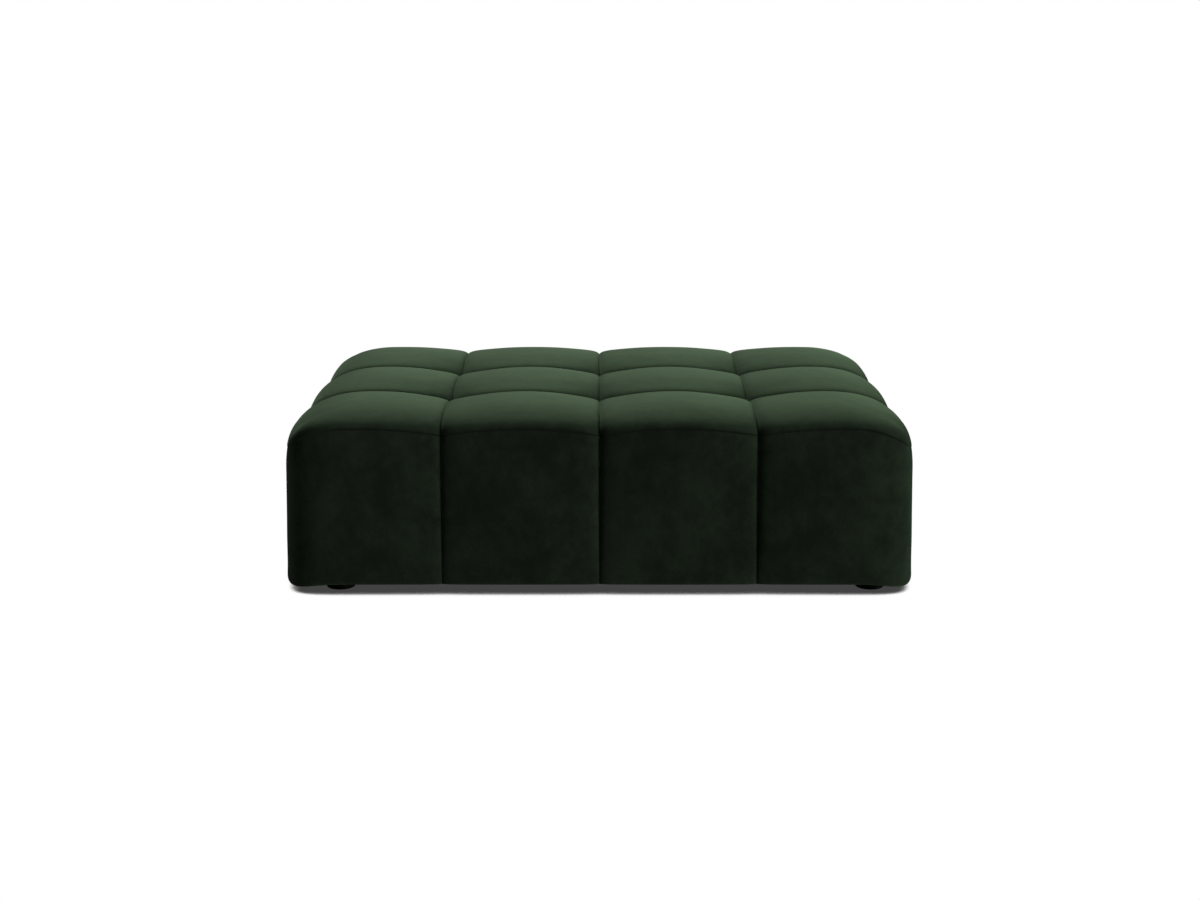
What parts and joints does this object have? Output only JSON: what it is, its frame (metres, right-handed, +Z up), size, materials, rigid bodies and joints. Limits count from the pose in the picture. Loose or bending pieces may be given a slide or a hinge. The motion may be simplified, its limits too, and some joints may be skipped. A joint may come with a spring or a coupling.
{
  "type": "pouf",
  "caption": "Large rectangular upholstered pouf with a tufted cushion top of crowned cells, padded side panels below a sewn seam, and low disc feet.",
  "frame": {"origin": "on the floor under the middle of the pouf, at the bottom of its feet", "axes": "+X along the long side to the right as seen from the front, +Y from the front to the back, +Z up"},
  "size_m": [1.3956, 0.9654, 0.405],
  "materials": {
    "velvet": "bottle green velvet, short dense pile",
    "base_cloth": "plain black underside cloth over a stiff sheet",
    "foot": "matte black"
  },
  "bodies": {
    "root": {"cell_c1_r1": "velvet", "cell_c1_r2": "velvet", "cell_c1_r3": "velvet", "cell_c2_r1": "velvet", "cell_c2_r2": "velvet", "cell_c2_r3": "velvet", "cell_c3_r1": "velvet", "cell_c3_r2": "velvet", "cell_c3_r3": "velvet", "cell_c4_r1": "velvet", "cell_c4_r2": "velvet", "cell_c4_r3": "velvet", "panel_front_left": "velvet", "panel_front_c2": "velvet", "panel_front_c3": "velvet", "panel_front_right": "velvet", "panel_right_r2": "velvet", "panel_back_right": "velvet", "panel_back_c3": "velvet", "panel_back_c2": "velvet", "panel_back_left": "velvet", "panel_left_r2": "velvet", "underside": "base_cloth", "foot_front_left": "foot", "foot_front_right": "foot", "foot_back_left": "foot", "foot_back_right": "foot"}
  },
  "joints": []
}
